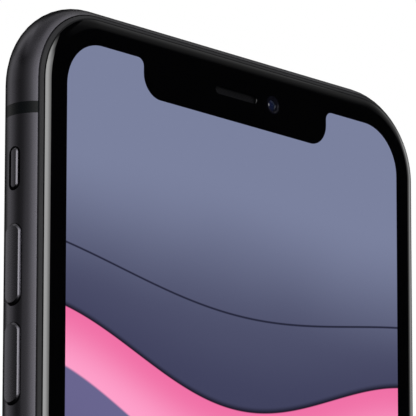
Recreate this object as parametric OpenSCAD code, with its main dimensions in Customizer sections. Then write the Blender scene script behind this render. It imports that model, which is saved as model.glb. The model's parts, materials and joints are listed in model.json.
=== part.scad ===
// Full-screen smartphone with a notch, modelled as the pieces it comes apart into.
//
// Every piece is laid out flat, screen up: x runs right, y towards the top edge and
// z towards the screen, from the middle of the body. upright() then stands the phone
// on its bottom edge, with the screen facing -Y. All lengths are in millimetres.

/* [Body] */
// Width across the band
body_w = 75.7; // [75.7:0.1:80]
// Height from the bottom edge to the top edge
body_h = 150.9; // [150.9:0.1:165]
// Thickness of the body, without the camera plateau; the edge is rounded all the way
body_t = 8.3; // [8.3:0.1:9]
// Radius of the outline's corners
corner_r = 12; // [11:0.5:13]
// Wall of the band behind its outermost line
wall = 2; // [1.8:0.1:2.2]
// Height of a plastic antenna break along the band
break_h = 1.6; // [1:0.1:2.5]
// Distance of the antenna breaks from the top and bottom edges
break_from_end = 15.9; // [14:0.1:19]
// Depth of the antenna breaks under the band's surface
break_depth = 0.95; // [0.5:0.05:1.2]

/* [Glass and display] */
// Thickness of the front and rear glass
glass_t = 0.7; // [0.6:0.05:0.8]
// Height above the middle where the metal ends and the display trim begins
band_front = 3.04; // [3:0.01:3.2]
// Distance behind the middle where the metal ends and the rear trim begins
band_back = 3.3; // [3.1:0.05:3.35]
// Inset of the front glass's edge from the outer edge
glass_inset = 2.05; // [2:0.05:2.4]
// Inset of the rear glass's edge from the outer edge
rear_inset = 1.95; // [1.8:0.05:2.2]
// Width of the lit area
screen_w = 64.5; // [60:0.1:65]
// Height of the lit area
screen_h = 139.6; // [130:0.1:140]
// Corner radius of the lit area
screen_r = 6.5; // [4:0.1:8]
// Width of the notch in the lit area
notch_w = 35.8; // [30:0.1:38]
// Depth of the notch in the lit area
notch_d = 5.15; // [4.5:0.05:6]

/* [Front sensors] */
// Distance of the sensors' line from the top edge
sensor_from_top = 6.9; // [6:0.05:7.2]
// Length of the earpiece slot
earpiece_l = 8; // [6:0.1:9]
// Width of the earpiece slot
earpiece_d = 1.2; // [0.8:0.1:1.6]
// Front camera, to the right of the middle
front_camera_x = 7.3; // [7.1:0.1:7.6]
// Infrared camera, to the right of the middle
infrared_x = -12.8; // [-13.5:0.1:-12.4]
// Dot projector, to the right of the middle
projector_x = 14.9; // [14.4:0.1:15.2]

/* [Side controls] */
// Volume up button, below the top edge
volume_up_from_top = 36.9; // [36:0.1:38]
// Volume down button, below the top edge
volume_down_from_top = 50.15; // [50:0.05:52]
// Length of a volume button
volume_l = 10.9; // [9:0.1:11.2]
// Side button, below the top edge
side_from_top = 43; // [40:0.5:46]
// Length of the side button
side_l = 15.8; // [12:0.1:17]
// Width of the buttons across the band
button_d = 2.6; // [2:0.1:2.6]
// How far the buttons stand out of the band
button_proud = 0.38; // [0.3:0.02:0.5]
// Gap round each button
button_gap = 0.1; // [0.08:0.01:0.15]
// Offset of the buttons towards the screen
button_z = 0; // [0:0.05:0.2]
// Ring switch, below the top edge
ring_from_top = 23.95; // [23:0.05:25]
// Length of the ring switch's slot
ring_slot_l = 5.95; // [5:0.05:6.5]
// Width of the ring switch's slot
ring_slot_d = 2.05; // [2:0.05:2.3]
// Offset of the ring switch's lever towards the screen, in its ring position
lever_z = 0.1; // [0:0.05:0.25]

/* [SIM tray] */
// SIM tray, below the top edge
sim_from_top = 73; // [72:0.5:74]
// Length of the tray's face
sim_face_l = 16.5; // [16:0.1:17]
// Width of the tray's face across the band
sim_face_d = 2; // [1.8:0.1:2.2]
// Radius of the eject pin hole
eject_r = 0.5; // [0.4:0.05:0.6]

/* [Bottom edge] */
// Width of the charging port's mouth
port_w = 8.6; // [8.4:0.1:9]
// Height of the charging port's mouth
port_d = 2.8; // [2.6:0.1:3]
// Distance of the bottom screws from the middle
screw_x = 7.6; // [7.4:0.1:8]
// Speaker and microphone holes on each side
hole_count = 6; // [3:1:6]
// Radius of a speaker hole
hole_r = 0.8; // [0.5:0.05:0.9]
// Spacing of the speaker holes
hole_pitch = 2.7; // [2.2:0.1:2.7]
// Distance of the first speaker hole from the middle
hole_x = 11.3; // [11:0.1:11.8]

/* [Rear camera] */
// Middle of the plateau, to the right of the middle as seen from the screen
plateau_x = 25; // [24:0.1:25.5]
// Upper lens, below the top edge
lens_from_top = 12.85; // [12.5:0.05:13.5]
// Distance between the two lenses
lens_pitch = 14.5; // [13:0.1:15]
// Distance from the lower lens to the flash
flash_pitch = 11.5; // [10:0.1:12]
// Width of the plateau
plateau_w = 15.5; // [14:0.1:16]
// How far the plateau stands out of the rear glass
plateau_t = 0.8; // [0.6:0.05:1]
// How far the lens rings stand out of the plateau
ring_t = 0.65; // [0.5:0.05:0.8]
// Outer radius of a lens ring
ring_r = 6.1; // [5.6:0.1:6.4]

/* [Battery and board] */
// Width of the battery
battery_w = 39; // [34:0.5:39]
// Height of the battery
battery_h = 105; // [90:1:105]
// Width of the main board
board_w = 24.4; // [24.4:0.1:24.6]
// Thickness of the main board
board_t = 0.8; // [0.6:0.1:0.8]
// Outer radius of the charging coil
coil_r = 22; // [18:0.5:24]

/* [Hidden] */
$fn = 96;
// Half sizes, and the radius of the round edge. The flat faces cut it just short of its
// crown, so that they begin at a definite line
half_w = body_w / 2;
half_h = body_h / 2;
face_z = body_t / 2;
edge_r = face_z + 0.05;
// Moves the whole phone so that its box is centred front to back
mid_y = -(plateau_t + ring_t) / 2;
// Depth of the border that is swept round the outline
border = 6;
// Insets of the ledges that carry the display trim and the rear trim
ledge = 3.2;
ledge_back = 3;
// Levels of the glass, the display's layers and the mid plate
glass_z = face_z - glass_t;
panel_z = glass_z - 1;
backlight_z = panel_z - 0.7;
shield_z = backlight_z - 0.2;
plate_z = -band_back + 0.6;
// Lines below the top edge, as y
break_y = half_h - break_from_end;
sensor_y = half_h - sensor_from_top;
ring_y = half_h - ring_from_top;
volume_up_y = half_h - volume_up_from_top;
volume_down_y = half_h - volume_down_from_top;
side_y = half_h - side_from_top;
sim_y = half_h - sim_from_top;
lens_y = [half_h - lens_from_top, half_h - lens_from_top - lens_pitch];
flash_y = lens_y[1] - flash_pitch;
// Display layers: how far they reach past the lit area
panel_w = screen_w + 2.1;
panel_h = screen_h + 2.4;
notch_y = screen_h / 2 - notch_d - 0.4;
// Sensor modules stand on the bracket at bracket_z and end at sensor_z
bracket_z = -1.2;
sensor_z = glass_z - 0.15;
// Buttons: flange just inside the wall, plunger tip, dome and bracket behind it
wall_x = half_w - wall;
flange_x = wall_x - 0.05;
flange_t = 0.45;
plunger_l = 0.4;
dome_gap = 0.33;
dome_t = 0.42;
bracket_x = flange_x - flange_t - plunger_l - dome_gap - dome_t;
bracket_t = 0.3;
// Ring switch lever
lever_l = ring_slot_l - 0.45;
lever_d = 1.2;
lever_proud = 0.2;
// SIM tray: carrier depth and thickness, card and its pocket
carrier_l = 13.5;
carrier_w = 14.4;
carrier_t = 0.8;
card = [8.8, 12.3, 0.67];
card_floor = 0.1;
plug_x = wall_x + 0.05;
// Charging port shell and tongue, measured along the phone from the middle
port_back = half_h - 8.95;
port_wall = 0.3;
// The holes along the bottom edge sit a little behind the middle
bottom_z = -0.25;
// Plateau outline
plateau_l = lens_y[0] - flash_y + plateau_w;
plateau_y = (lens_y[0] + flash_y) / 2;
plateau_z = -face_z - plateau_t;
lens_z = plateau_z - ring_t;
barrel_r = 4.1;
flash_r = 2.6;
mic_r = 0.5;
mic_at = [plateau_x + 4.6, flash_y + 4.4];
// Board, battery and what stands on them
board_x = 8;
board_y = [-46, 36];
board_z = plate_z + 0.8;
board_top = board_z + board_t;
can_areas = [[10, 13.2, 21.4, 21.3], [13.6, -31, 17.8, 23]];
screw_at = [[15, 12.05], [31, 12.05], [10.3, -32.3], [31, -32.3], [14.8, -6.9], [9.3, -12]];
battery_x = 6.2 - battery_w;
battery_y = -48;
battery_z = plate_z + 0.1;
battery_t = 3.9;
flex_t = 0.15;
coil_y = -2;

// ---- helpers ----

// Stands the flat layout on its bottom edge, screen facing -Y
module upright() {
    translate([0, mid_y, half_h]) rotate([90, 0, 0]) children();
}

// Copies to the left and to the right
module both_sides() {
    for (flip = [0, 1]) mirror([flip, 0, 0]) children();
}

// A section (x = inset, y = height) extruded along the right-hand side
module along_right(y0, y1) {
    translate([half_w, y1, 0]) rotate([90, 0, 0]) linear_extrude(y1 - y0) mirror([1, 0]) children();
}

// A section (x = inset, y = height) swept all the way round the outline
module around() {
    both_sides() {
        along_right(-half_h + corner_r, half_h - corner_r) children();
        for (flip = [0, 1]) mirror([0, flip, 0]) {
            translate([half_w - corner_r, half_h - corner_r, 0])
                rotate_extrude(angle = 90) translate([corner_r, 0]) mirror([1, 0]) children();
        }
    }
    for (flip = [0, 1]) mirror([0, flip, 0]) {
        translate([-half_w + corner_r, half_h, 0]) rotate([90, 0, 90])
            linear_extrude(body_w - 2 * corner_r) mirror([1, 0]) children();
    }
}

// Section of the round edge, with the flat border behind it
module edge_section() {
    translate([edge_r, 0]) circle(edge_r);
    translate([edge_r, -face_z]) square([border - edge_r, body_t]);
}

// The part of the edge section between two insets and two heights
module edge_part(inset0, inset1, z0, z1) {
    intersection() {
        edge_section();
        translate([inset0, z0]) square([inset1 - inset0, z1 - z0]);
    }
}

// Rectangle with round corners, about its middle
module rounded(w, h, r) {
    square([w - 2 * r, h], center = true);
    square([w, h - 2 * r], center = true);
    for (x = [-1, 1], y = [-1, 1]) translate([x * (w / 2 - r), y * (h / 2 - r)]) circle(r);
}

// Plate with round corners between two heights
module plate(w, h, r, z0, z1) {
    translate([0, 0, z0]) linear_extrude(z1 - z0) rounded(w, h, r);
}

// Box from its low corner
module block(at, size) {
    translate(at) cube(size);
}

// Box with round upright edges, from its low corner
module soft_block(at, size, r) {
    translate([at[0] + size[0] / 2, at[1] + size[1] / 2, at[2]])
        linear_extrude(size[2]) rounded(size[0], size[1], r);
}

// Outline with round ends, along x
module pill(l, d) {
    square([l - d, d], center = true);
    for (s = [-1, 1]) translate([s * (l - d) / 2, 0]) circle(d = d);
}

// Upright prism on a pill, between two heights
module pill_prism(l, d, z0, z1) {
    translate([0, 0, z0]) linear_extrude(z1 - z0) pill(l, d);
}

// Pill whose half section (x = distance from the middle, y = height) is swept round it
module swept_pill(l, d) {
    straight = l - d;
    for (end = [0, 180]) rotate([0, 0, end]) {
        translate([straight / 2, 0, 0]) rotate([0, 0, -90]) rotate_extrude(angle = 180) children();
        translate([-straight / 2, 0, 0]) rotate([90, 0, 90]) linear_extrude(straight) children();
    }
}

// Half section of a cap, with its outer edge chamfered
module cap_section(d, z0, z1, chamfer) {
    polygon([[0, z0], [d / 2, z0], [d / 2, z1 - chamfer], [d / 2 - chamfer, z1], [0, z1]]);
}

// Pill-shaped cap that stands proud of the band, its face curved round the body's edge;
// offset is how far its middle lies towards the screen
module cap(l, d, proud, offset, chamfer) {
    intersection() {
        swept_pill(l, d) cap_section(d, flange_x - 0.1, half_w + proud, chamfer);
        translate([-l, -offset, half_w - edge_r]) rotate([0, 90, 0])
            cylinder(r = edge_r + proud, h = 2 * l);
    }
}

// Places a piece on the right-hand side: its x runs up the phone, y towards the
// screen, and z outwards from the middle of the body
module on_right(y, z) {
    translate([0, y, z]) rotate([90, 0, 90]) children();
}

module on_left(y, z) {
    mirror([1, 0, 0]) on_right(y, z) children();
}

// Places a piece on the bottom edge: x runs right, y towards the screen, z outwards
module on_bottom(x) {
    translate([x, 0, bottom_z]) rotate([90, 0, 0]) children();
}

// ---- body ----

module band_section() {
    difference() {
        edge_part(0, ledge, -band_back, band_front);
        translate([wall, plate_z]) square([border, band_front - 0.64 - plate_z]);
        translate([ledge_back, -edge_r]) square([border, edge_r]);
    }
}

// The band's outer skin, where the antenna breaks are let in
module break_section() {
    difference() {
        band_section();
        translate([edge_r, 0]) circle(edge_r - break_depth);
    }
}

module at_breaks() {
    both_sides() for (y = [-break_y, break_y]) {
        along_right(y - break_h / 2, y + break_h / 2) children();
    }
}

// Slot through the wall, as tall as the piece in it plus a gap all round
module side_slot(l, d) {
    pill_prism(l, d, wall_x - 1, half_w + 1);
}

module speaker_holes() {
    both_sides() for (i = [0 : hole_count - 1]) on_bottom(hole_x + i * hole_pitch) {
        translate([0, 0, half_h - wall - 1]) cylinder(r = hole_r, h = wall + 2);
    }
}

module bottom_openings() {
    on_bottom(0) pill_prism(port_w, port_d, half_h - wall - 1, half_h + 1);
    speaker_holes();
    both_sides() on_bottom(screw_x) {
        translate([0, 0, half_h - wall - 1]) cylinder(r = 0.65, h = wall + 2);
        translate([0, 0, half_h - 0.75]) cylinder(r = 0.95, h = 2);
    }
}

module frame_band() {
    color([0.19, 0.19, 0.21]) upright() difference() {
        around() band_section();
        at_breaks() break_section();
        on_left(ring_y, 0) side_slot(ring_slot_l, ring_slot_d);
        for (y = [volume_up_y, volume_down_y]) {
            on_left(y, button_z) side_slot(volume_l + 2 * button_gap, button_d + 2 * button_gap);
        }
        on_right(side_y, button_z) side_slot(side_l + 2 * button_gap, button_d + 2 * button_gap);
        on_right(sim_y, 0) side_slot(sim_face_l + 2 * button_gap, sim_face_d + 2 * button_gap);
        bottom_openings();
    }
}

module antenna_breaks() {
    color([0.1, 0.1, 0.11]) upright() at_breaks() break_section();
}

module mid_plate() {
    inset = ledge_back + 0.02;
    color("silver") upright() difference() {
        plate(body_w - 2 * inset, body_h - 2 * inset, corner_r - inset, -band_back, plate_z);
        translate([0, coil_y, -edge_r]) cylinder(r = coil_r + 0.6, h = body_t);
        for (y = lens_y) translate([plateau_x, y, -edge_r]) cylinder(r = barrel_r + 0.5, h = body_t);
        translate([plateau_x, flash_y, -edge_r]) cylinder(r = flash_r - 0.4, h = body_t);
    }
}

module rear_trim() {
    color("black") upright() around() difference() {
        edge_part(0, ledge, -face_z, -band_back);
        translate([rear_inset, -face_z]) square([border, glass_t]);
    }
}

module rear_glass() {
    hole_gap = 0.05;
    color([0.05, 0.05, 0.06]) upright() difference() {
        union() {
            around() edge_part(rear_inset, border, -face_z, -glass_z);
            plate(body_w - 2 * border, body_h - 2 * border, corner_r - border, -face_z, -glass_z);
        }
        translate([plateau_x, plateau_y, 0]) rotate([0, 0, 90])
            pill_prism(plateau_l + 2 * hole_gap, plateau_w + 2 * hole_gap, -body_t, 0);
    }
}

// ---- display ----

module display_trim() {
    color([0.08, 0.08, 0.09]) upright() around() difference() {
        edge_part(0, ledge, band_front, face_z);
        translate([glass_inset, glass_z]) square([border, glass_t]);
    }
}

module front_glass() {
    color([0.02, 0.02, 0.02]) upright() difference() {
        union() {
            around() edge_part(glass_inset, border, glass_z, face_z);
            plate(body_w - 2 * border, body_h - 2 * border, corner_r - border, glass_z, face_z);
        }
        translate([0, sensor_y, 0]) pill_prism(earpiece_l, earpiece_d, 0, body_t);
    }
}

// One layer of the display, cut away where the sensors stand in the notch
module display_layer(w, h, z0, z1) {
    difference() {
        plate(w, h, screen_r + 0.7, z0, z1);
        translate([0, notch_y + border, 0]) cube([notch_w + 0.8, 2 * border, body_t], center = true);
    }
}

module display_panel() {
    color([0.45, 0.49, 0.6]) upright() display_layer(panel_w, panel_h, panel_z, glass_z);
}

module backlight_unit() {
    color("white") upright() display_layer(panel_w, panel_h, backlight_z, panel_z);
}

module display_shield() {
    color("gray") upright() display_layer(panel_w + 0.6, panel_h + 0.6, shield_z, backlight_z);
}

// ---- earpiece and front sensors ----

module earpiece_mesh() {
    mesh_gap = 0.04;
    color([0.1, 0.1, 0.1]) upright() translate([0, sensor_y, 0])
        pill_prism(earpiece_l - mesh_gap, earpiece_d - mesh_gap, glass_z + 0.1, glass_z + 0.35);
}

module earpiece_speaker() {
    color("dimgray") upright() {
        soft_block([-6.4, sensor_y - 3.4, 0.4], [10.3, 6.8, glass_z - 0.75], 0.8);
        translate([0, sensor_y, 0]) pill_prism(7.6, 1, glass_z - 0.4, glass_z + 0.05);
    }
}

// Camera or projector module: a square base on the bracket and a round barrel
module sensor_module(x, base, base_t, lens_r) {
    translate([x, sensor_y, 0]) {
        soft_block([-base / 2, -base / 2, bracket_z], [base, base, base_t], 0.3);
        translate([0, 0, bracket_z + base_t]) cylinder(r = lens_r, h = sensor_z - bracket_z - base_t);
    }
}

module front_camera() {
    color("dimgray") upright() sensor_module(front_camera_x, 5.6, 2.4, 2.2);
}

module front_camera_lens() {
    color([0.05, 0.06, 0.15]) upright() translate([front_camera_x, sensor_y, sensor_z])
        cylinder(r = 1.2, h = glass_z - sensor_z);
}

module infrared_camera() {
    color("dimgray") upright() sensor_module(infrared_x, 5, 2.2, 1.9);
}

module dot_projector() {
    color("gray") upright() sensor_module(projector_x, 4.2, 3, 1.5);
}

module flood_emitter() {
    color("lightgray") upright() soft_block([-9.5, sensor_y - 1.3, 1.9], [2.2, 2.6, sensor_z - 1.9], 0.3);
}

module light_sensor() {
    color("lightgray") upright() soft_block([10.9, sensor_y - 0.9, 2.3], [1.3, 1.8, sensor_z - 2.3], 0.3);
}

module sensor_bracket() {
    lip = 0.3;
    color("silver") upright() {
        soft_block([-16, sensor_y - 3, bracket_z - lip], [33.6, 6, lip], 0.8);
        block([-14, sensor_y + 3 - lip, bracket_z - 1.1], [29, lip, 0.8 + lip]);
    }
}

// ---- ring switch ----

// Lever in its ring position, towards the screen
module ring_switch_lever() {
    color([0.19, 0.19, 0.21]) upright() on_left(ring_y, lever_z) {
        cap(lever_l, lever_d, lever_proud, lever_z, 0.2);
        pill_prism(8.2, 3.4, flange_x - flange_t, flange_x);
        block([-1, -0.5, flange_x - flange_t - 0.4], [2, 1, 0.45]);
    }
}

module ring_switch_base() {
    color([0.12, 0.12, 0.12]) upright() on_left(ring_y, 0) {
        block([-4, -1.9, bracket_x - 1.3], [8, 3.3, 1.8]);
        block([-3, plate_z, bracket_x - 1.1], [6, -1.9 - plate_z, 1.4]);
    }
}

// ---- buttons ----

// Cap, retaining flange and plunger in one moulding
module button(l) {
    cap(l, button_d, button_proud, button_z, 0.3);
    pill_prism(l + 1.4, button_d + 1.2, flange_x - flange_t, flange_x);
    translate([0, 0, flange_x - flange_t - plunger_l]) cylinder(r = 0.8, h = plunger_l + 0.1);
}

// Metal dome on a thin carrier, pressed by a button's plunger
module dome() {
    foot = 0.18;
    translate([0, 0, bracket_x]) cylinder(r = 1.7, h = foot);
    translate([0, 0, bracket_x + foot]) cylinder(r1 = 1.5, r2 = 0.8, h = dome_t - foot);
}

// Steel strip behind the domes, with a foot on the mid plate
module button_bracket(l) {
    foot = 1.2;
    block([-l / 2, -1.9, bracket_x - bracket_t], [l, 3.8, bracket_t]);
    block([-l / 2, plate_z - button_z, bracket_x - foot], [l, 0.3, foot]);
    block([-l / 2, plate_z - button_z, bracket_x - bracket_t], [l, -1.9 - plate_z + button_z, bracket_t]);
}

module volume_up_button() {
    color([0.2, 0.2, 0.22]) upright() on_left(volume_up_y, button_z) button(volume_l);
}

module volume_down_button() {
    color([0.2, 0.2, 0.22]) upright() on_left(volume_down_y, button_z) button(volume_l);
}

module volume_switches() {
    color("silver") upright() for (y = [volume_up_y, volume_down_y]) on_left(y, button_z) dome();
}

module volume_bracket() {
    middle = (volume_up_y + volume_down_y) / 2;
    color("silver") upright() on_left(middle, button_z) button_bracket(volume_up_y - volume_down_y + 10);
}

module side_button() {
    color([0.2, 0.2, 0.22]) upright() on_right(side_y, button_z) button(side_l);
}

module side_switch() {
    color("silver") upright() on_right(side_y, button_z) dome();
}

module side_bracket() {
    color("silver") upright() on_right(side_y, button_z) button_bracket(side_l);
}

// ---- SIM tray ----

// The tray's plug fills the slot, flush with the rounded band
module sim_plug() {
    seal_at = plug_x + 0.4;
    intersection() {
        difference() {
            pill_prism(sim_face_l, sim_face_d, plug_x, half_w + 1);
            translate([0, 0, seal_at]) linear_extrude(0.6) difference() {
                pill(sim_face_l + 1, sim_face_d + 1);
                pill(sim_face_l - 0.5, sim_face_d - 0.5);
            }
        }
        translate([-body_h / 2, 0, half_w - edge_r]) rotate([0, 90, 0]) cylinder(r = edge_r, h = body_h);
    }
}

module sim_tray() {
    pocket = [card[1] + 0.1, 2 * carrier_t, card[0] + 0.1];
    pocket_x = plug_x - 2.8 - pocket[2];
    eject_at = -sim_face_l / 2 + 1.6;
    color([0.19, 0.19, 0.21]) upright() on_right(sim_y, 0) difference() {
        union() {
            sim_plug();
            block([-carrier_w / 2, -carrier_t / 2, plug_x - carrier_l], [carrier_w, carrier_t, carrier_l + 0.3]);
        }
        block([-pocket[0] / 2, card_floor - carrier_t / 2, pocket_x], pocket);
        block([-4.5, -carrier_t, pocket_x + 1], [9, 2 * carrier_t, pocket[2] - 2]);
        translate([eject_at, 0, plug_x - 1]) cylinder(r = eject_r, h = 4);
    }
}

module sim_tray_seal() {
    color([0.25, 0.05, 0.05]) upright() on_right(sim_y, 0) translate([0, 0, plug_x + 0.4])
        linear_extrude(0.6) difference() {
            pill(sim_face_l + 0.14, sim_face_d + 0.14);
            pill(sim_face_l - 0.5, sim_face_d - 0.5);
        }
}

module sim_card() {
    card_x = plug_x - 2.8 - card[0] - 0.05;
    color("white") upright() on_right(sim_y, 0) difference() {
        block([-card[1] / 2, card_floor - carrier_t / 2, card_x], [card[1], card[2], card[0]]);
        translate([card[1] / 2, 0, card_x]) rotate([0, 45, 0]) cube([2, 2, 2], center = true);
    }
}

module sim_reader() {
    shell = 0.5;
    depth = carrier_l + 0.8;
    color("silver") upright() on_right(sim_y, 0) difference() {
        block([-carrier_w / 2 - 1.2, board_top, wall_x - 0.15 - depth], [carrier_w + 2.4, 2.15, depth]);
        block([-carrier_w / 2 - 0.2, -carrier_t / 2 - 0.15, wall_x - 0.15 - depth + shell],
              [carrier_w + 0.4, carrier_t + 0.3, depth]);
    }
}

// ---- bottom edge ----

module charging_port() {
    color("silver") upright() on_bottom(0) difference() {
        pill_prism(port_w + 2 * port_wall, port_d + 2 * port_wall, port_back, half_h - wall);
        pill_prism(port_w, port_d, port_back + port_wall, half_h);
    }
}

module port_tongue() {
    color("black") upright() on_bottom(0)
        block([-3.3, -0.35, port_back + port_wall], [6.6, 0.7, 5.7]);
}

module port_contacts() {
    contact_pitch = 0.9;
    color("gold") upright() on_bottom(0) for (i = [-3 : 3], side = [0, 1]) mirror([0, side, 0]) {
        block([i * contact_pitch - 0.2, 0.35, port_back + port_wall + 0.6], [0.4, 0.06, 4.4]);
    }
}

module bottom_screws() {
    color("dimgray") upright() both_sides() on_bottom(screw_x) difference() {
        union() {
            translate([0, 0, half_h - 0.7]) cylinder(r = 0.9, h = 0.6);
            translate([0, 0, half_h - 4.2]) cylinder(r = 0.6, h = 3.6);
        }
        translate([0, 0, half_h - 0.5]) cylinder(r = 0.5, h = 1, $fn = 6);
    }
}

module acoustic_meshes() {
    mesh_t = 0.3;
    color([0.1, 0.1, 0.1]) upright() both_sides() on_bottom(0)
        block([10.2, -1.3, half_h - wall - mesh_t], [15.5, 2.6, mesh_t]);
}

module loudspeaker() {
    color([0.12, 0.12, 0.12]) upright()
        soft_block([9.2, -half_h + 4.5, plate_z + 0.2], [21.8, 14.9, 3.9], 1.5);
}

module bottom_microphone() {
    color("silver") upright() soft_block([-14, -half_h + 2.9, -1], [3.5, 2.4, 1.6], 0.3);
}

module haptic_motor() {
    color("silver") upright() soft_block([-31, -half_h + 6, plate_z + 0.3], [18, 8.5, 3.7], 0.8);
}

// ---- battery and board ----

module battery() {
    color([0.1, 0.1, 0.12]) upright()
        soft_block([battery_x, battery_y, battery_z], [battery_w, battery_h, battery_t], 2);
}

module battery_adhesive() {
    color("white") upright() for (x = [battery_x + 6, -7.5]) {
        soft_block([x, battery_y + 4, plate_z], [8, battery_h - 8, 0.1], 1);
    }
}

module battery_flex() {
    color([0.6, 0.35, 0.1]) upright() {
        block([battery_x + battery_w, -22, board_top], [5, 5, flex_t]);
        block([battery_x + battery_w + 3, -21.5, board_top + flex_t], [1.8, 4, 0.6]);
    }
}

module main_board() {
    size = [board_w, board_y[1] - board_y[0], board_t];
    color([0.05, 0.25, 0.15]) upright() difference() {
        soft_block([board_x, board_y[0], board_z], size, 1);
        for (at = screw_at) translate([at[0], at[1], -edge_r]) cylinder(r = 0.7, h = body_t);
    }
}

// Packages on both faces of the board, under the cans
module board_chips() {
    color([0.08, 0.08, 0.08]) upright() {
        block([13, 17, board_top], [12, 13, 1]);
        block([26.4, 18, board_top], [4, 9, 0.8]);
        block([16, -26, board_top], [9, 9, 0.9]);
        block([26, -24, board_top], [4, 7, 0.8]);
        block([14, 16, board_z - 0.5], [10, 12, 0.5]);
        block([17, -27, board_z - 0.5], [8, 12, 0.5]);
    }
}

// Thin-walled can over an area [x, y, width, height], open towards the board
module can(area, z0, z1, open_z) {
    sheet = 0.12;
    difference() {
        block([area[0], area[1], z0], [area[2], area[3], z1 - z0]);
        block([area[0] + sheet, area[1] + sheet, open_z], [area[2] - 2 * sheet, area[3] - 2 * sheet, z1 - z0]);
    }
}

module board_shields() {
    front_h = 1.6;
    rear_h = 0.7;
    sheet = 0.12;
    color("silver") upright() for (area = can_areas) {
        can(area, board_top, board_top + front_h, board_top - sheet);
        can(area, board_z - rear_h, board_z, board_z - rear_h + sheet);
    }
}

// Steel bridge over the flex connectors
module connector_cover() {
    sheet = 0.2;
    height = 1.2;
    color("silver") upright() {
        block([9, -44.5, board_top + height], [22, 11, sheet]);
        for (x = [9, 31 - sheet]) block([x, -44.5, board_top], [sheet, 11, height]);
    }
}

module board_screws() {
    color("dimgray") upright() for (at = screw_at) translate([at[0], at[1], 0]) {
        translate([0, 0, plate_z]) cylinder(r = 0.6, h = board_top - plate_z);
        translate([0, 0, board_top]) cylinder(r = 0.9, h = 0.5);
    }
}

// Flex from one level down or up to its connector on the board
module flex_step(x, w, y_far, z_far) {
    fold_y = board_y[0] - 0.9;
    block([x, y_far, z_far], [w, fold_y + flex_t - y_far, flex_t]);
    low = min(z_far, board_top);
    block([x, fold_y, low], [w, flex_t, max(z_far, board_top) + flex_t - low]);
    block([x, fold_y, board_top], [w, 6, flex_t]);
    block([x + 0.5, fold_y + 3.5, board_top + flex_t], [w - 1, 2.2, 0.6]);
}

module display_flex() {
    color([0.6, 0.35, 0.1]) upright() flex_step(22, 7, -54, shield_z - flex_t);
}

module dock_flex() {
    color([0.6, 0.35, 0.1]) upright() {
        flex_step(12, 6, -60, plate_z + 0.02);
        block([-9, -66, plate_z + 0.02], [27, 6, flex_t]);
    }
}

module charging_coil() {
    color([0.7, 0.4, 0.2]) upright() translate([0, coil_y, -band_back]) difference() {
        cylinder(r = coil_r, h = 0.5);
        translate([0, 0, -1]) cylinder(r = 10, h = 3);
    }
}

// ---- rear camera ----

module at_lenses() {
    for (y = lens_y) translate([plateau_x, y, 0]) children();
}

// Module with a square base in the body and a barrel through the plateau
module rear_camera(y) {
    base = 10.8;
    translate([plateau_x, y, 0]) {
        soft_block([-base / 2, -base / 2, plate_z + 0.3], [base, base, 3.7], 0.8);
        translate([0, 0, plateau_z + 0.05]) cylinder(r = barrel_r, h = plate_z + 0.4 - plateau_z);
    }
}

module rear_camera_main() {
    color("dimgray") upright() rear_camera(lens_y[0]);
}

module rear_camera_wide() {
    color("dimgray") upright() rear_camera(lens_y[1]);
}

module camera_plateau() {
    neck_r = ring_r - 1.1;
    color([0.15, 0.15, 0.16]) upright() difference() {
        translate([plateau_x, plateau_y, 0]) rotate([0, 0, 90]) {
            pill_prism(plateau_l, plateau_w, plateau_z, -glass_z);
            pill_prism(plateau_l + 1.5, plateau_w + 1.5, -glass_z, -band_back);
        }
        at_lenses() translate([0, 0, -2 * body_t]) cylinder(r = neck_r, h = 2 * body_t);
        translate([plateau_x, flash_y, plateau_z - 1]) cylinder(r = flash_r, h = 1.4);
        translate([plateau_x, flash_y, plateau_z - 1]) cylinder(r = flash_r - 0.6, h = body_t);
        translate([mic_at[0], mic_at[1], plateau_z - 1]) cylinder(r = mic_r, h = body_t);
    }
}

// Ring with a seat for its cover, and a neck down into the plateau
module lens_rings() {
    neck_r = ring_r - 1.15;
    color([0.3, 0.3, 0.32]) upright() at_lenses() difference() {
        union() {
            translate([0, 0, lens_z]) cylinder(r = ring_r, h = ring_t);
            translate([0, 0, lens_z + 0.1]) cylinder(r = neck_r, h = ring_t + 1.2);
        }
        translate([0, 0, lens_z - 1]) cylinder(r = barrel_r + 0.2, h = body_t);
        translate([0, 0, lens_z - 1]) cylinder(r = ring_r - 0.9, h = 1.5);
    }
}

module lens_covers() {
    color([0.02, 0.02, 0.03]) upright() at_lenses()
        translate([0, 0, lens_z + 0.15]) cylinder(r = ring_r - 0.95, h = 0.35);
}

module flash_window() {
    color("white") upright() translate([plateau_x, flash_y, plateau_z]) cylinder(r = flash_r - 0.02, h = 0.38);
}

module flash_led() {
    color("gold") upright() block([plateau_x - 1.3, flash_y - 1.3, plateau_z + 0.45], [2.6, 2.6, 1.1]);
}

module rear_mic_mesh() {
    color("black") upright() translate([mic_at[0], mic_at[1], plateau_z + 0.3])
        cylinder(r = mic_r - 0.02, h = 0.2);
}

frame_band();
antenna_breaks();
mid_plate();
rear_trim();
rear_glass();
display_trim();
front_glass();
display_panel();
backlight_unit();
display_shield();
earpiece_mesh();
earpiece_speaker();
front_camera();
front_camera_lens();
infrared_camera();
dot_projector();
flood_emitter();
light_sensor();
sensor_bracket();
ring_switch_lever();
ring_switch_base();
volume_up_button();
volume_down_button();
volume_switches();
volume_bracket();
side_button();
side_switch();
side_bracket();
sim_tray();
sim_tray_seal();
sim_card();
sim_reader();
charging_port();
port_tongue();
port_contacts();
bottom_screws();
acoustic_meshes();
loudspeaker();
bottom_microphone();
haptic_motor();
battery();
battery_adhesive();
battery_flex();
main_board();
board_chips();
board_shields();
connector_cover();
board_screws();
display_flex();
dock_flex();
charging_coil();
rear_camera_main();
rear_camera_wide();
camera_plateau();
lens_rings();
lens_covers();
flash_window();
flash_led();
rear_mic_mesh();
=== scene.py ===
import json
import math

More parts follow.
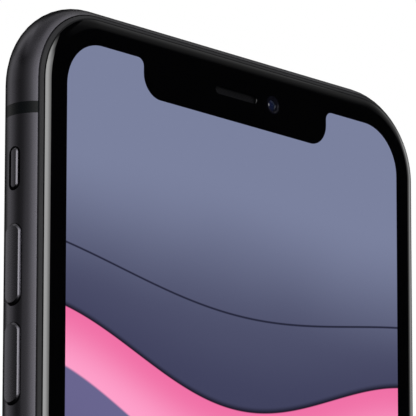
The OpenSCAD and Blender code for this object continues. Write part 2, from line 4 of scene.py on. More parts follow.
import bmesh
import bpy
from mathutils import Matrix, Vector


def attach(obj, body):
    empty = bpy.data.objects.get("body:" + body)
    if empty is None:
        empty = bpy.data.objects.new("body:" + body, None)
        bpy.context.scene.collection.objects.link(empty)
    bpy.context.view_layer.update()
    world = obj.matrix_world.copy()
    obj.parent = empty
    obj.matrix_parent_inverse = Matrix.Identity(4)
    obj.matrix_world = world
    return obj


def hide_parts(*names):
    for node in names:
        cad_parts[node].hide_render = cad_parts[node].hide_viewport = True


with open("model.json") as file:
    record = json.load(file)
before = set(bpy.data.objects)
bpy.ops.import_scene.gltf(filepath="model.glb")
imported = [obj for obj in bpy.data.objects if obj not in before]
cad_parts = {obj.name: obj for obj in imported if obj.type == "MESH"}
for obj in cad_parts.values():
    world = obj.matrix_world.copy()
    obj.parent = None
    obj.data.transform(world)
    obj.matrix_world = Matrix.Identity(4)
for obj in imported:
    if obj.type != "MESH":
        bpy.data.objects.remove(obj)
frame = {"nodes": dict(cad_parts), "record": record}
NODES = frame["nodes"]
scene = bpy.context.scene
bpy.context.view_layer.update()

MM = 0.001

# Sizes shared with the CAD source, in millimetres, in its flat layout: x runs right,
# y up the phone and z towards the screen, from the middle of the body
BODY_W, BODY_H, BODY_T = 75.7, 150.9, 8.3
CORNER_R = 12.0
FACE_Z = BODY_T / 2
EDGE_R = FACE_Z + 0.05
BAND_FRONT = 3.04
LEDGE = 3.2
GLASS_INSET, GLASS_T = 2.05, 0.7
GLASS_Z = FACE_Z - GLASS_T
SCREEN_W, SCREEN_H, SCREEN_R = 64.5, 139.6, 6.5
NOTCH_W, NOTCH_D, NOTCH_R = 35.8, 5.15, 3.2
PANEL_Z = GLASS_Z - 1.0
SENSOR_Y = BODY_H / 2 - 6.9
EARPIECE_L, EARPIECE_D = 8.0, 1.2
FRONT_CAMERA_X, FRONT_CAMERA_R = 7.3, 1.25
LENS_X, LENS_YS, LENS_R = 25.0, (62.6, 48.1), 5.15
FLASH_Y, FLASH_R = 36.6, 2.58
PLATEAU_Z = -FACE_Z - 0.8
LENS_FACE_Z = -5.45
MID_Y = -0.725


# ---- camera ----

def make_camera():
    """Long lens below and to the left of the phone, looking up at its top corner."""
    heading, pitch, roll = 0.8083, 0.2593, 0.0013
    at = Vector((-0.57605, -0.549865, -0.08224))
    level = math.cos(pitch)
    forward = Vector((math.sin(heading) * level, math.cos(heading) * level, math.sin(pitch)))
    right = Vector((math.cos(heading), -math.sin(heading), 0))
    up = right.cross(forward)
    side = right * math.cos(roll) + up * math.sin(roll)
    top = up * math.cos(roll) - right * math.sin(roll)
    camera = bpy.data.objects.new("camera", bpy.data.cameras.new("camera"))
    camera.data.lens = 528.2
    camera.data.sensor_width = 36
    camera.data.clip_start = 0.05
    camera.data.clip_end = 20
    turn = Matrix((side, top, -forward)).transposed()
    camera.matrix_world = Matrix.Translation(at) @ turn.to_4x4()
    scene.collection.objects.link(camera)
    scene.camera = camera


# ---- node helpers ----

def add_node(tree, kind, settings=None, **inputs):
    """New node; an input is a value or another node's output socket."""
    node = tree.nodes.new(kind)
    for name, value in (settings or {}).items():
        setattr(node, name, value)
    for name, value in inputs.items():
        connect(tree, node.inputs[name.replace("_", " ")], value)
    return node


def connect(tree, socket, value):
    if isinstance(value, bpy.types.NodeSocket):
        tree.links.new(value, socket)
    else:
        socket.default_value = value


class Value:
    """A number from the node tree that can be used in ordinary arithmetic."""

    def __init__(self, tree, socket):
        self.tree, self.socket = tree, socket

    def apply(self, operation, *others, clamp=False):
        node = self.tree.nodes.new("ShaderNodeMath")
        node.operation, node.use_clamp = operation, clamp
        for socket, value in zip(node.inputs, (self, *others)):
            connect(self.tree, socket, value.socket if isinstance(value, Value) else value)
        return Value(self.tree, node.outputs[0])

    def __add__(self, other):
        return self.apply("ADD", other)

    def __sub__(self, other):
        return self.apply("SUBTRACT", other)

    def __mul__(self, other):
        return self.apply("MULTIPLY", other)

    def sin(self):
        return self.apply("SINE")

    def abs(self):
        return self.apply("ABSOLUTE")

    def step(self, low, high):
        """0 below low, 1 above high, smooth between them."""
        node = self.tree.nodes.new("ShaderNodeMapRange")
        node.interpolation_type = "SMOOTHSTEP"
        for name, value in (("Value", self.socket), ("From Min", low), ("From Max", high)):
            connect(self.tree, node.inputs[name], value)
        return Value(self.tree, node.outputs[0])


def mix_colour(tree, factor, a, b):
    """Colour between a and b. Sockets 6 and 7, and output 2, are the node's colour ones."""
    node = tree.nodes.new("ShaderNodeMix")
    node.data_type = "RGBA"
    connect(tree, node.inputs["Factor"], factor.socket if isinstance(factor, Value) else factor)
    connect(tree, node.inputs[6], a)
    connect(tree, node.inputs[7], b)
    return node.outputs[2]


def linear(*rgb):
    """Display colour, 0 to 255 a channel, as linear RGBA."""
    def channel(c):
        c /= 255
        return c / 12.92 if c <= 0.04045 else ((c + 0.055) / 1.055) ** 2.4
    return (*map(channel, rgb), 1)


def new_material(name, **inputs):
    material = bpy.data.materials.new(name)
    material.use_nodes = True
    tree = material.node_tree
    shader = tree.nodes["Principled BSDF"]
    for key, value in inputs.items():
        connect(tree, shader.inputs[key.replace("_", " ")], value)
    return material, tree, shader


def coordinates(tree):
    return add_node(tree, "ShaderNodeTexCoord").outputs["Object"]


def noise(tree, scale, detail=2.0, roughness=0.5, vector=None):
    made = add_node(tree, "ShaderNodeTexNoise", Scale=scale, Detail=detail, Roughness=roughness,
                    Vector=vector or coordinates(tree))
    return Value(tree, made.outputs["Fac"])


def spread(tree, value, low, high):
    """A 0 to 1 value spread between two numbers."""
    return value * (high - low) + low


def bump(tree, shader, height, distance):
    made = add_node(tree, "ShaderNodeBump", Strength=1.0, Distance=distance, Height=height.socket)
    connect(tree, shader.inputs["Normal"], made.outputs["Normal"])


# ---- materials ----

def anodised(name, colour, roughness, grain=9000.0, depth=0.0000003):
    """Bead-blasted and dyed aluminium: fine grain, and slow changes in the dye and polish."""
    material, tree, shader = new_material(name, Metallic=1.0, Roughness=roughness)
    dye = noise(tree, 60.0, 3.0)
    dark = tuple(c * 0.92 for c in colour)
    light = tuple(c * 1.08 for c in colour)
    connect(tree, shader.inputs["Base Color"], mix_colour(tree, dye, (*dark, 1), (*light, 1)))
    blast = noise(tree, grain, 2.0, 0.6)
    polish = spread(tree, blast, roughness - 0.03, roughness + 0.03)
    connect(tree, shader.inputs["Roughness"], polish.socket)
    bump(tree, shader, blast, depth)
    return material


def sheet_metal(name, colour, roughness, grain=(400.0, 400.0, 9000.0)):
    """Rolled or drawn sheet, with fine lines along the rolling direction."""
    material, tree, shader = new_material(name, Metallic=1.0)
    stretched = add_node(tree, "ShaderNodeVectorMath", {"operation": "MULTIPLY"})
    connect(tree, stretched.inputs[0], coordinates(tree))
    connect(tree, stretched.inputs[1], grain)
    lines = noise(tree, 1.0, 4.0, 0.6, stretched.outputs[0])
    dark = tuple(c * 0.85 for c in colour)
    connect(tree, shader.inputs["Base Color"], mix_colour(tree, lines, (*dark, 1), (*colour, 1)))
    polish = spread(tree, lines, roughness - 0.08, roughness + 0.08)
    connect(tree, shader.inputs["Roughness"], polish.socket)
    bump(tree, shader, lines, 0.000002)
    return material


def moulded(name, colour, roughness, grain=4000.0, depth=0.000002, coat=0.0, specular=0.5):
    """Moulded plastic or rubber with a fine spark-eroded texture."""
    material, tree, shader = new_material(name, Coat_Weight=coat, Coat_Roughness=0.08,
                                          Specular_IOR_Level=specular)
    texture = noise(tree, grain, 3.0, 0.55)
    cloud = noise(tree, 90.0, 2.0)
    dark = tuple(c * 0.85 for c in colour)
    light = tuple(min(1.0, c * 1.1) for c in colour)
    connect(tree, shader.inputs["Base Color"], mix_colour(tree, cloud, (*dark, 1), (*light, 1)))
    polish = spread(tree, texture, roughness - 0.07, roughness + 0.07)
    connect(tree, shader.inputs["Roughness"], polish.socket)
    bump(tree, shader, texture, depth)
    return material


def polished_glass(name, colour, roughness=0.02):
    """Dark backed glass: a clean reflection with the faintest unevenness in its polish."""
    material, tree, shader = new_material(name, IOR=1.5)
    depth = noise(tree, 120.0, 2.0)
    light = tuple(c * 1.3 for c in colour)
    connect(tree, shader.inputs["Base Color"], mix_colour(tree, depth, (*colour, 1), (*light, 1)))
    smear = noise(tree, 45.0, 4.0, 0.6)
    polish = spread(tree, smear, roughness, roughness + 0.015)
    connect(tree, shader.inputs["Roughness"], polish.socket)
    return material


def display_picture(tree):
    """Plain abstract picture: a slate field darkening downwards, one fine wave line, and a
    pink wave band. Made from sine curves in millimetres across and below the screen's top."""
    place = add_node(tree, "ShaderNodeSeparateXYZ", Vector=coordinates(tree))
    x = Value(tree, place.outputs["X"]) * (1 / MM)
    top = (BODY_H + SCREEN_H) / 2
    v = (Value(tree, place.outputs["Z"]) * (1 / MM) - top) * -1.0
    cloud = noise(tree, 28.0, 2.0)
    fine_wave = ((x + 22.0) * (math.tau / 90)).sin() * 2.5 + 29.5
    crest = ((x + 19.0) * (math.tau / 76)).sin() * 4.5 + 40.5
    foot = crest + (x * 0.1 + 11.2)
    second = ((x + 4.0) * (math.tau / 83)).sin() * 6.0 + 88.0
    field = mix_colour(tree, (v + cloud * 6.0).step(17.0, 38.0), linear(121, 128, 157), linear(76, 79, 106))
    field = mix_colour(tree, (v - fine_wave).step(0.0, 12.0), field, linear(62, 64, 92))
    line = (v - fine_wave).abs().step(0.06, 0.22)
    field = mix_colour(tree, line, linear(34, 36, 56), field)
    edge = (crest - v).step(0.0, 0.9)
    field = mix_colour(tree, edge, linear(17, 16, 30), field)
    band = mix_colour(tree, (v - crest).step(0.0, 9.0), linear(240, 112, 166), linear(254, 160, 202))
    deep = mix_colour(tree, (v - foot).step(0.0, 46.0), linear(104, 100, 142), linear(20, 21, 38))
    deep = mix_colour(tree, (second - v).step(0.0, 10.0), linear(150, 62, 110), deep)
    deep = mix_colour(tree, (v - second).step(-0.15, 0.15), deep, linear(22, 23, 42))
    lower = mix_colour(tree, (v - foot).step(-0.25, 0.25), band, deep)
    return mix_colour(tree, (v - crest).step(-0.08, 0.12), field, lower)


def lit_screen(name):
    material, tree, shader = new_material(name, IOR=1.5, Base_Color=(0.002, 0.002, 0.003, 1))
    connect(tree, shader.inputs["Emission Color"], display_picture(tree))
    shader.inputs["Emission Strength"].default_value = 1.0
    smear = noise(tree, 45.0, 4.0, 0.6)
    polish = spread(tree, smear, 0.02, 0.035)
    connect(tree, shader.inputs["Roughness"], polish.socket)
    return material


def coated_lens(name, centre, rim):
    """Multi-coated lens: violet to green film over black, by the angle it is seen at."""
    material, tree, shader = new_material(name, IOR=1.7, Roughness=0.01, Coat_Weight=1.0)
    facing = add_node(tree, "ShaderNodeLayerWeight", Blend=0.35)
    film = mix_colour(tree, Value(tree, facing.outputs["Facing"]), (*centre, 1), (*rim, 1))
    connect(tree, shader.inputs["Base Color"], film)
    return material


MATERIALS = {
    "anodised_band": anodised("anodised_band", (0.100, 0.096, 0.110), 0.27),
    "button_aluminium": anodised("button_aluminium", (0.134, 0.130, 0.146), 0.27),
    "plateau_aluminium": moulded("plateau_aluminium", (0.020, 0.020, 0.023), 0.42, depth=0.000001),
    "ring_aluminium": anodised("ring_aluminium", (0.16, 0.16, 0.18), 0.22),
    "inner_aluminium": sheet_metal("inner_aluminium", (0.62, 0.63, 0.65), 0.38),
    "antenna_plastic": moulded("antenna_plastic", (0.001, 0.0015, 0.002), 0.28, specular=0.2),
    "trim_plastic": moulded("trim_plastic", (0.011, 0.011, 0.012), 0.5, specular=0.10),
    "black_plastic": moulded("black_plastic", (0.014, 0.014, 0.016), 0.45),
    "white_plastic": moulded("white_plastic", (0.70, 0.70, 0.68), 0.45),
    "chip_plastic": moulded("chip_plastic", (0.02, 0.02, 0.022), 0.55),
    "flash_plastic": moulded("flash_plastic", (0.80, 0.74, 0.50), 0.20, coat=1.0),
    "battery_wrap": moulded("battery_wrap", (0.03, 0.03, 0.033), 0.40),
    "flex_polyimide": moulded("flex_polyimide", (0.45, 0.20, 0.04), 0.30, coat=0.5),
    "board_laminate": moulded("board_laminate", (0.02, 0.08, 0.05), 0.35, coat=0.4),
    "seal_rubber": moulded("seal_rubber", (0.20, 0.03, 0.03), 0.60),
    "front_glass": polished_glass("front_glass", (0.0003, 0.0003, 0.0004)),
    "rear_glass": polished_glass("rear_glass", (0.010, 0.010, 0.012)),
    "lens_glass": coated_lens("lens_glass", (0.004, 0.005, 0.018), (0.001, 0.005, 0.006)),
    "lens_barrel": polished_glass("lens_barrel", (0.0018, 0.0018, 0.0032), 0.08),
    "screen": lit_screen("screen"),
    "speaker_mesh": sheet_metal("speaker_mesh", (0.016, 0.016, 0.018), 0.45, (3000.0, 3000.0, 3000.0)),
    "steel": sheet_metal("steel", (0.60, 0.60, 0.61), 0.30),
    "dark_steel": sheet_metal("dark_steel", (0.12, 0.12, 0.13), 0.32),
    "gold_contacts": sheet_metal("gold_contacts", (0.83, 0.60, 0.24), 0.25),
    "copper_coil": sheet_metal("copper_coil", (0.72, 0.36, 0.20), 0.35),
}


def dress_frame():
    """Every CAD node takes the finished material of its slot."""
    for part in frame["record"]["subparts"]:
        mesh = NODES[part["node"]].data
        mesh.materials.clear()
        mesh.materials.append(MATERIALS[part["material_slot"]])


# ---- mesh helpers ----

def rounded_outline(w, h, r, steps=24):
    """Rectangle with round corners about the middle, anticlockwise from the right-hand side."""
    points = []
    for corner, (sx, sy) in enumerate(((1, 1), (-1, 1), (-1, -1), (1, -1))):
        for i in range(steps + 1):
            a = math.radians(90 * (corner + i / steps))
            points.append((sx * (w / 2 - r) + r * math.cos(a), sy * (h / 2 - r) + r * math.sin(a)))
    return points


def body_outline(inset, steps=24):
    return rounded_outline(BODY_W - 2 * inset, BODY_H - 2 * inset, CORNER_R - inset, steps)


def pill_outline(x, y, l, d, steps=20):
    points = []
    for side, start in ((1, -90), (-1, 90)):
        for i in range(steps + 1):
            a = math.radians(start + 180 * i / steps)
            points.append((x + side * (l - d) / 2 + d / 2 * math.cos(a), y + d / 2 * math.sin(a)))
    return points


def circle_outline(x, y, r, steps=48):
    angles = [math.tau * i / steps for i in range(steps)]
    return [(x + r * math.cos(a), y + r * math.sin(a)) for a in angles]


def arc(cx, cy, r, start, end, steps):
    made = []
    for i in range(steps + 1):
        a = math.radians(start + (end - start) * i / steps)
        made.append((cx + r * math.cos(a), cy + r * math.sin(a)))
    return made


def screen_outline(steps=16):
    """Lit area with round corners and the notch in its top edge, anticlockwise."""
    x, y = SCREEN_W / 2 - SCREEN_R, SCREEN_H / 2 - SCREEN_R
    notch_x, notch_y = NOTCH_W / 2 - NOTCH_R, SCREEN_H / 2 - NOTCH_D + NOTCH_R
    lip = 1.1
    lip_x, lip_y = NOTCH_W / 2 + lip, SCREEN_H / 2 - lip
    points = arc(x, y, SCREEN_R, 0, 90, steps)
    points += arc(lip_x, lip_y, lip, 90, 180, steps // 2)
    points += arc(notch_x, notch_y, NOTCH_R, 0, -90, steps)
    points += arc(-notch_x, notch_y, NOTCH_R, -90, -180, steps)
    points += arc(-lip_x, lip_y, lip, 0, 90, steps // 2)
    points += arc(-x, y, SCREEN_R, 90, 180, steps)
    points += arc(-x, -y, SCREEN_R, 180, 270, steps)
    points += arc(x, -y, SCREEN_R, 270, 360, steps)
    return points


def upright(x, y, z):
    """Flat layout in millimetres to the upright frame in metres."""
    return Vector((x, MID_Y - z, BODY_H / 2 + y)) * MM


def add_ring(bm, outline, z):
    return [bm.verts.new(upright(x, y, z)) for x, y in outline]


def bridge(bm, low, high):
    """Quads between two rings of equal length."""
    n = len(low)
    for i in range(n):
        j = (i + 1) % n
        bm.faces.new((low[i], low[j], high[j], high[i]))


def loop_edges(bm, ring):
    pairs = zip(ring, ring[1:] + ring[:1])
    return [bm.edges.get(pair) or bm.edges.new(pair) for pair in pairs]


def fill(bm, *rings):
    """Flat face between an outer ring and the rings of its holes."""
    edges = [e for ring in rings for e in loop_edges(bm, ring)]
    bmesh.ops.triangle_fill(bm, edges=edges, use_beauty=True, use_dissolve=False)


def finish_piece(bm, name, body, slot_name, *replaced, sharp=35.0, material=None):
    """Turns a bmesh into a piece attached to its body, with the material of its slot unless another is
    given, and hides the CAD nodes it replaces.
    """
    bmesh.ops.remove_doubles(bm, verts=bm.verts, dist=1e-8)
    bmesh.ops.recalc_face_normals(bm, faces=bm.faces)
    mesh = bpy.data.meshes.new(name)
    bm.to_mesh(mesh)
    bm.free()
    mesh.shade_smooth()
    mesh.set_sharp_from_angle(angle=math.radians(sharp))
    piece = bpy.data.objects.new(name, mesh)
    scene.collection.objects.link(piece)
    mesh.materials.append(material or MATERIALS[slot_name])
    weighted = piece.modifiers.new("weighted_normals", "WEIGHTED_NORMAL")
    weighted.keep_sharp = True
    weighted.weight = 90
    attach(piece, body)
    if replaced:
        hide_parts(*replaced)
    return piece


def sweep(bm, section):
    """Closed ring round the body; its section is a list of (inset, height) points."""
    rings = [add_ring(bm, body_outline(inset), z) for inset, z in section]
    for low, high in zip(rings, rings[1:] + rings[:1]):
        bridge(bm, low, high)


def turn(bm, x, y, profile, steps=64):
    """Turned solid about a line towards the viewer; its profile is a list of (radius, height)
    points from the rim of its base to the middle of its face."""
    rings = []
    for radius, z in profile:
        if radius > 0:
            rings.append(add_ring(bm, circle_outline(x, y, radius, steps), z))
    for low, high in zip(rings, rings[1:]):
        bridge(bm, low, high)
    fill(bm, rings[0])
    if profile[-1][0] > 0:
        fill(bm, rings[-1])
    else:
        tip = bm.verts.new(upright(x, y, profile[-1][1]))
        last = rings[-1]
        for i in range(steps):
            bm.faces.new((last[i], last[(i + 1) % steps], tip))


def dome(radius, edge_z, rise, steps=8):
    """Profile of a shallow dome, from its edge to its crown; rise may be negative."""
    curve = (radius ** 2 + rise ** 2) / (2 * abs(rise))
    side = math.copysign(1, rise)
    points = []
    for i in range(steps + 1):
        r = radius * (1 - i / steps)
        points.append((r, edge_z + rise + side * (math.sqrt(curve ** 2 - r ** 2) - curve)))
    return points


# ---- front ----

def edge_height(inset):
    """Height of the round edge above the middle, at an inset from the outline."""
    return math.sqrt(EDGE_R ** 2 - (EDGE_R - inset) ** 2)


def make_display_trim():
    """Ring between the band and the glass, with its shoulders rounded so that a fine
    groove shows on both sides."""
    bm = bmesh.new()
    base = BAND_FRONT + 0.002
    outer, inner = 1.46, 1.955
    crown = (outer + 0.04, 1.56, 1.68, 1.80, inner - 0.05)
    section = [(outer, base), (outer, edge_height(outer) - 0.03)]
    section += [(inset, edge_height(inset)) for inset in crown]
    section += [(inner, edge_height(inner) - 0.09)]
    section += [(inner, GLASS_Z - 0.005), (LEDGE, GLASS_Z - 0.005), (LEDGE, base)]
    sweep(bm, section)
    finish_piece(bm, "display_gasket", "chassis", "trim_plastic", "display_trim")


def make_front_glass():
    """Cover glass with its curved edge, the earpiece slot, the camera window and an opening
    for the lit display."""
    flat_inset = EDGE_R - math.sqrt(EDGE_R ** 2 - FACE_Z ** 2)
    steps = 12
    bm = bmesh.new()
    back = add_ring(bm, body_outline(GLASS_INSET), GLASS_Z)
    start = math.acos(1 - (GLASS_INSET + 0.03) / EDGE_R)
    end = math.acos(1 - flat_inset / EDGE_R)
    below = add_ring(bm, body_outline(GLASS_INSET), edge_height(GLASS_INSET) - 0.04)
    bridge(bm, back, below)
    for i in range(steps + 1):
        a = start + (end - start) * i / steps
        ring = add_ring(bm, body_outline(EDGE_R - EDGE_R * math.cos(a)), EDGE_R * math.sin(a))
        bridge(bm, below, ring)
        below = ring
    chamfer = 0.06
    wide_l = EARPIECE_L + 2 * chamfer
    holes = [
        (screen_outline(), None),
        (pill_outline(0, SENSOR_Y, EARPIECE_L, EARPIECE_D), pill_outline(0, SENSOR_Y, wide_l, EARPIECE_D)),
        (circle_outline(FRONT_CAMERA_X, SENSOR_Y, FRONT_CAMERA_R), None),
    ]
    fronts, backs = [], []
    for outline, wide in holes:
        low = add_ring(bm, outline, GLASS_Z)
        high = add_ring(bm, outline, FACE_Z - (chamfer if wide else 0))
        bridge(bm, low, high)
        if wide:
            top = add_ring(bm, wide, FACE_Z)
            bridge(bm, high, top)
            high = top
        fronts.append(high)
        backs.append(low)
    fill(bm, below, *fronts)
    fill(bm, back, *backs)
    finish_piece(bm, "cover_glass", "chassis", "front_glass", "front_glass", sharp=20)


def make_display():
    """Lit display, flush with the cover glass."""
    bm = bmesh.new()
    low = add_ring(bm, screen_outline(), PANEL_Z)
    high = add_ring(bm, screen_outline(), FACE_Z)
    bridge(bm, low, high)
    fill(bm, high)
    fill(bm, low)
    finish_piece(bm, "lit_display", "chassis", "screen", "display_panel")


def add_wire(bm, start, end, z, waves, swing, radius, sides=5):
    """Wire that weaves up and down between two points of the flat layout."""
    steps = max(2, int(6 * waves))
    along = Vector((end[0] - start[0], end[1] - start[1])).normalized()
    rings = []
    for i in range(steps + 1):
        t = i / steps
        x, y = start[0] + (end[0] - start[0]) * t, start[1] + (end[1] - start[1]) * t
        lift = z + swing * math.cos(math.pi * waves * t)
        ring = []
        for k in range(sides):
            a = math.tau * k / sides
            out, up = radius * math.cos(a), radius * math.sin(a)
            ring.append(bm.verts.new(upright(x - along.y * out, y + along.x * out, lift + up)))
        rings.append(ring)
    for low, high in zip(rings, rings[1:]):
        bridge(bm, low, high)
    bm.faces.new(rings[0])
    bm.faces.new(rings[-1])


def make_earpiece_mesh():
    """Woven wire mesh across the earpiece slot."""
    bm = bmesh.new()
    pitch, radius, swing = 0.25, 0.05, 0.045
    z = FACE_Z - 0.4
    half_l, half_d = EARPIECE_L / 2 + 0.1, EARPIECE_D / 2 + 0.1
    rows, columns = int(2 * half_d / pitch), int(2 * half_l / pitch)
    for i in range(rows):
        y = SENSOR_Y + (i - (rows - 1) / 2) * pitch
        side = 1 if i % 2 else -1
        add_wire(bm, (-half_l, y), (half_l, y), z, columns, side * swing, radius)
    for i in range(columns):
        x = (i - (columns - 1) / 2) * pitch
        side = 1 if i % 2 else -1
        add_wire(bm, (x, SENSOR_Y - half_d), (x, SENSOR_Y + half_d), z, rows, side * swing, radius)
    finish_piece(bm, "woven_earpiece_mesh", "chassis", "speaker_mesh", "earpiece_mesh", sharp=60)


def make_front_camera():
    """Stepped dark barrel and coated lens behind the window in the cover glass."""
    barrel = bmesh.new()
    r, z = FRONT_CAMERA_R - 0.01, FACE_Z - 0.03
    lens_r = 0.7
    turn(barrel, FRONT_CAMERA_X, SENSOR_Y, [
        (r, z - 0.35), (r, z), (1.02, z), (1.0, z - 0.02), (0.98, z - 0.1),
        (lens_r + 0.02, z - 0.16), (lens_r, z - 0.3),
    ])
    finish_piece(barrel, "front_camera_barrel", "chassis", "black_plastic",
                 material=MATERIALS["lens_barrel"])
    lens = bmesh.new()
    turn(lens, FRONT_CAMERA_X, SENSOR_Y, [(lens_r, z - 0.3)] + dome(lens_r, z - 0.24, 0.16))
    finish_piece(lens, "front_camera_dome", "chassis", "lens_glass", "front_camera_lens")


# ---- rear ----

def make_rear_lenses():
    """Each rear lens: glossy stepped barrel under the ring, with a coated dome in it."""
    z = LENS_FACE_Z
    barrels, domes = bmesh.new(), bmesh.new()
    for y in LENS_YS:
        turn(barrels, LENS_X, y, [
            (LENS_R, z + 0.5), (LENS_R, z), (4.7, z), (4.66, z + 0.04), (4.6, z + 0.18),
            (4.0, z + 0.2), (3.95, z + 0.24), (3.9, z + 0.33),
            (2.9, z + 0.4), (2.86, z + 0.44), (2.86, z + 0.48),
        ])
        turn(domes, LENS_X, y, [(2.85, z + 0.48)] + dome(2.85, z + 0.42, -0.34))
    finish_piece(barrels, "rear_lens_barrels", "chassis", "lens_glass", "lens_covers",
                 material=MATERIALS["lens_barrel"])
    finish_piece(domes, "rear_lens_domes", "chassis", "lens_glass")


def make_flash_window():
    """Clear flash window with fine concentric ridges."""
    bm = bmesh.new()
    ridges = 7
    pitch = (FLASH_R - 0.3) / ridges
    profile = [(FLASH_R, PLATEAU_Z + 0.38), (FLASH_R, PLATEAU_Z), (FLASH_R - 0.2, PLATEAU_Z)]
    for i in range(ridges):
        r = FLASH_R - 0.22 - i * pitch
        profile += [(r, PLATEAU_Z + 0.07), (r - pitch * 0.8, PLATEAU_Z + 0.01)]
    profile.append((0, PLATEAU_Z + 0.03))
    turn(bm, LENS_X, FLASH_Y, profile)
    finish_piece(bm, "ridged_flash_window", "chassis", "flash_plastic", "flash_window")


# ---- stage and light ----

def make_floor():
    """Pale disc under the phone, fading out towards the white surroundings."""
    radius, fade_start, fade_end = 0.38, 0.12, 0.36
    bm = bmesh.new()
    bmesh.ops.create_circle(bm, cap_ends=True, radius=radius, segments=96)
    mesh = bpy.data.meshes.new("floor")
    bm.to_mesh(mesh)
    bm.free()
    floor = bpy.data.objects.new("floor", mesh)
    scene.collection.objects.link(floor)
    material, tree, shader = new_material("floor", Base_Color=(0.86, 0.86, 0.86, 1), Roughness=0.7)
    place = coordinates(tree)
    distance = add_node(tree, "ShaderNodeVectorMath", {"operation": "LENGTH"}, Vector=place)
    fade = Value(tree, distance.outputs["Value"]).step(fade_start, fade_end)
    clear = tree.nodes.new("ShaderNodeBsdfTransparent")
    mixed = tree.nodes.new("ShaderNodeMixShader")
    connect(tree, mixed.inputs[0], fade.socket)
    tree.links.new(shader.outputs[0], mixed.inputs[1])
    tree.links.new(clear.outputs[0], mixed.inputs[2])
    tree.links.new(mixed.outputs[0], tree.nodes["Material Output"].inputs["Surface"])
    mesh.materials.append(material)
    floor.visible_glossy = False


def make_world():
    """White to the camera and as soft light on matt surfaces; nearly black in reflections, so
    that the softboxes draw the highlights."""
    world = bpy.data.worlds.new("studio")
    scene.world = world
    world.use_nodes = True
    tree = world.node_tree
    tree.nodes.clear()
    path = tree.nodes.new("ShaderNodeLightPath")
    shader = add_node(tree, "ShaderNodeBackground", Color=(0.95, 0.97, 1.0, 1), Strength=0.004).outputs[0]
    for ray, strength in (("Is Diffuse Ray", 0.7), ("Is Camera Ray", 1.0)):
        light = add_node(tree, "ShaderNodeBackground", Color=(1, 1, 1, 1), Strength=strength)
        mixed = tree.nodes.new("ShaderNodeMixShader")
        connect(tree, mixed.inputs[0], path.outputs[ray])
        tree.links.new(shader, mixed.inputs[1])
        tree.links.new(light.outputs[0], mixed.inputs[2])
        shader = mixed.outputs[0]
    out = tree.nodes.new("ShaderNodeOutputWorld")
    tree.links.new(shader, out.inputs["Surface"])


def direction(azimuth, elevation):
    """Unit vector; azimuth 0 is the phone's left (-X), 90 the front (-Y), 180 the right."""
    a, e = math.radians(azimuth), math.radians(elevation)
    return Vector((-math.cos(a) * math.cos(e), -math.sin(a) * math.cos(e), math.sin(e)))


LIGHT_TARGET = Vector((0.0, 0.0, 0.11))
LIGHT_DISTANCE = 1.0


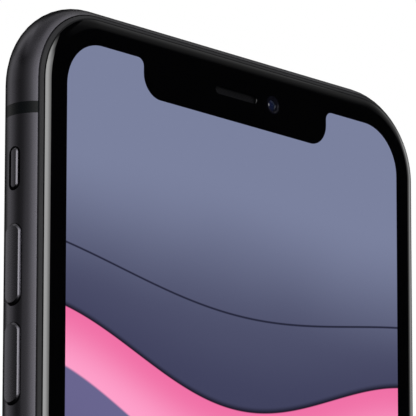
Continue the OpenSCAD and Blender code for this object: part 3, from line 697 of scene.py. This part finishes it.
def softbox(name, azimuths, elevations, levels, along="X", blend=(0.0, 0.0)):
    """Light that fills a range of azimuth and elevation as seen from the target. Its brightness
    follows the levels, evenly spaced from its first azimuth to its last or, along Y, from its
    lower edge to its upper one. Blend is the share of its height that fades out at each edge."""
    middle = direction(sum(azimuths) / 2, sum(elevations) / 2)
    half_w = math.tan(math.radians(azimuths[1] - azimuths[0]) / 2)
    half_w *= math.cos(math.radians(sum(elevations) / 2))
    half_h = math.tan(math.radians(elevations[1] - elevations[0]) / 2)
    light = bpy.data.lights.new(name, "AREA")
    light.shape = "RECTANGLE"
    light.size, light.size_y = 2 * half_w * LIGHT_DISTANCE, 2 * half_h * LIGHT_DISTANCE
    brightest = max(levels)
    light.energy = brightest * math.pi * light.size * light.size_y
    light.use_nodes = True
    tree = light.node_tree
    place = add_node(tree, "ShaderNodeTexCoord").outputs["UV"]
    place = add_node(tree, "ShaderNodeSeparateXYZ", Vector=place)
    ramp = add_node(tree, "ShaderNodeValToRGB", Fac=place.outputs[along])
    ramp.color_ramp.interpolation = "EASE"
    stops = ramp.color_ramp.elements
    while len(stops) < len(levels):
        stops.new(0.5)
    for i, level in enumerate(levels):
        stops[i].position = i / (len(levels) - 1)
        stops[i].color = (level / brightest,) * 3 + (1,)
    height = Value(tree, place.outputs["Y"])
    fade = height.step(-0.001, blend[0]) * (height * -1.0 + 1.0).step(-0.001, blend[1])
    colour = mix_colour(tree, fade, (0, 0, 0, 1), ramp.outputs["Color"])
    connect(tree, tree.nodes["Emission"].inputs["Color"], colour)
    lamp = bpy.data.objects.new(name, light)
    scene.collection.objects.link(lamp)
    lamp.location = LIGHT_TARGET + middle * LIGHT_DISTANCE
    lamp.rotation_euler = (-middle).to_track_quat("-Z", "Y").to_euler()
    lamp.visible_camera = False


def make_lights():
    """Strips of light round the phone, each with its own fall-off. The front right stays dark,
    because the flat glass mirrors it."""
    softbox("front_box", (62, 95), (4, 38), (8.8, 8.2, 3.2), blend=(0.0, 0.25))
    softbox("front_box_top", (60, 96), (31, 56), (8.4, 7.4, 1.6), blend=(0.25, 0.7))
    softbox("front_left_box", (-20, 60), (0, 42), (0.06, 0.11, 0.26, 0.70, 2.5, 5.2))
    softbox("front_left_box_top", (-22, 62), (40, 62), (0.0, 0.02, 0.1, 0.5, 1.5, 1.9), blend=(0.2, 0.0))
    softbox("high_front_box", (50, 180), (64, 88), (1.3, 1.5, 1.1, 0.3), along="Y")
    softbox("rear_left_box", (-98, -20), (0, 36), (0.0, 0.32, 0.66, 0.42, 0.15, 0.06))
    softbox("rear_left_box_top", (-112, -30), (34, 66), (0.0, 0.2, 0.76, 0.22, 0.0), blend=(0.2, 0.0))
    softbox("right_box", (164, 225), (-12, 28), (0.06, 0.45, 1.3, 0.55, 0.25, 0.18, 0.12),
            blend=(0.1, 0.14))
    softbox("right_box_top", (148, 222), (22, 42), (0.02, 0.08, 0.22, 0.42, 0.2, 0.05, 0.0),
            blend=(0.3, 0.5))
    softbox("upper_right_box", (118, 222), (33, 58), (0.0, 0.04, 0.12, 0.19, 0.18, 0.09, 0.0),
            blend=(0.4, 0.0))
    softbox("top_box", (90, 270), (66, 114), (0.35, 0.22, 0.03), along="Y")
    softbox("rear_low_box", (192, 262), (-34, -4), (0.0, 0.25, 0.6, 0.45, 0.1))
    softbox("left_low_box", (-30, 66), (-20, -2), (0.05, 0.1, 0.25, 0.35, 0.1))


scene.view_settings.view_transform = "Standard"
make_camera()
make_world()
make_floor()
make_lights()
dress_frame()
make_display_trim()
make_front_glass()
make_display()
make_earpiece_mesh()
make_front_camera()
make_rear_lenses()
make_flash_window()
